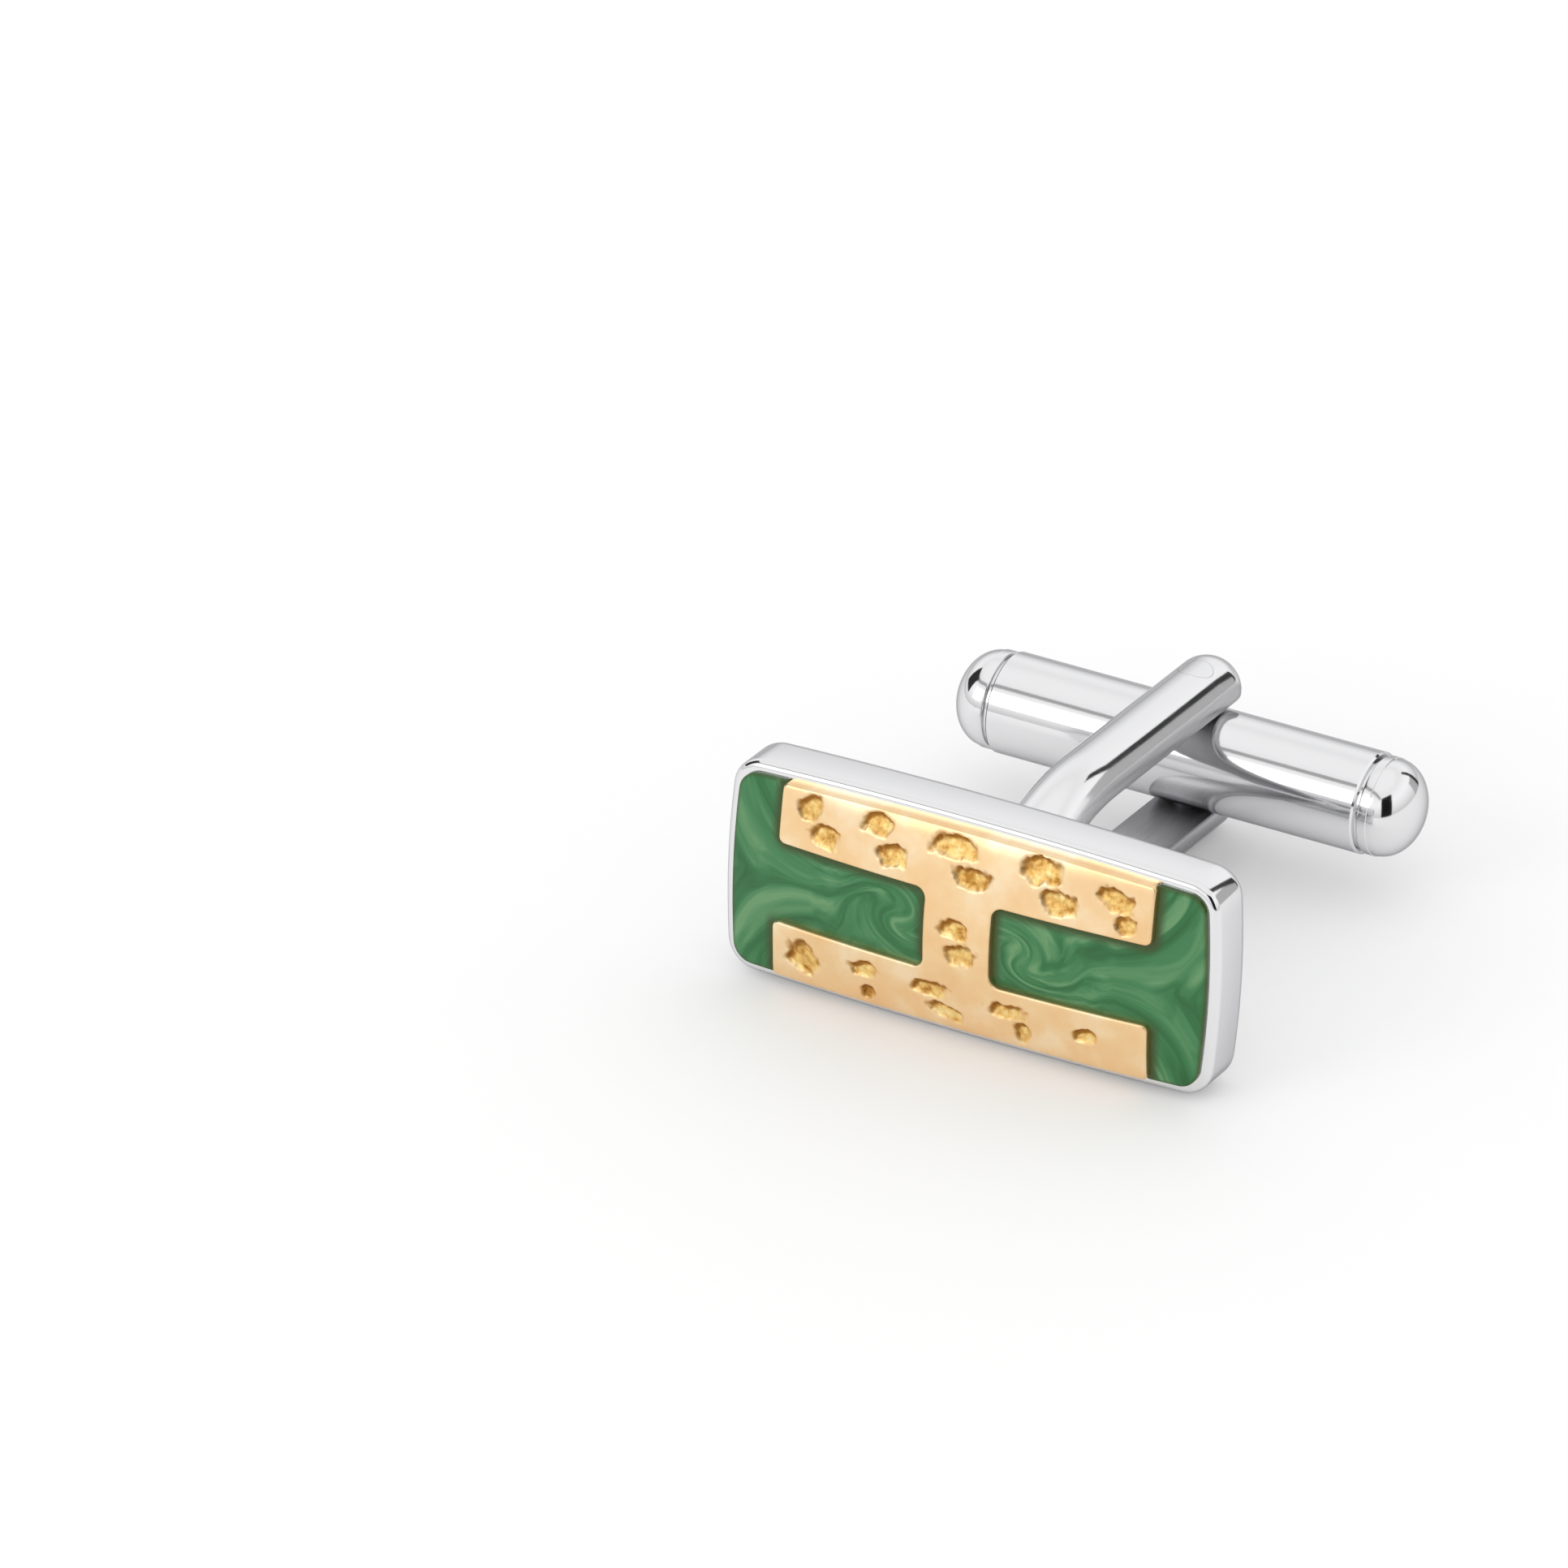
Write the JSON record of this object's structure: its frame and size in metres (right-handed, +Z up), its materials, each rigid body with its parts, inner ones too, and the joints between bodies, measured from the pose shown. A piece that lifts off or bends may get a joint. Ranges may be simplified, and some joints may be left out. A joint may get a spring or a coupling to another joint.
{
  "type": "cufflink",
  "caption": "Rectangular cufflink, gold-coloured inlay between green enamel panels in a polished tray, with a wishbone post and a round swivel toggle.",
  "frame": {"origin": "middle of the bounding box at the height of the table the cufflink rests on", "axes": "+X along the head, -Y towards the decorated face, +Y towards the toggle, +Z up; the head leans back by 3.3 degrees, as it rests on its lower back edge and on the end of the lower arm"},
  "size_m": [0.02, 0.0202, 0.0088],
  "materials": {
    "polished_metal": "mirror-polished white metal",
    "gold_inlay": "satin rose-gold metal with rough sunk pits",
    "green_enamel": "glossy marbled green enamel",
    "pin_steel": "polished steel, flush with the arms",
    "spring_steel": "bare spring steel, inside the toggle"
  },
  "bodies": {
    "head": {"bezel_tray": "polished_metal", "gold_inlay": "gold_inlay", "enamel_left": "green_enamel", "enamel_right": "green_enamel", "post_pad": "polished_metal", "post_fork": "polished_metal", "pivot_pin": "pin_steel"},
    "toggle": {"toggle_barrel": "polished_metal", "toggle_cap_left": "polished_metal", "toggle_cap_right": "polished_metal", "leaf_spring_front": "spring_steel", "leaf_spring_rear": "spring_steel"}
  },
  "joints": [
    {"name": "toggle_swivel", "type": "hinge", "parent": "head", "child": "toggle", "pos_m": [0, 0.00774, 0.00349], "axis": [0, 0.0579, 0.9983], "range_deg": [-90, 90], "deforming": ["leaf_spring_front", "leaf_spring_rear"]}
  ]
}
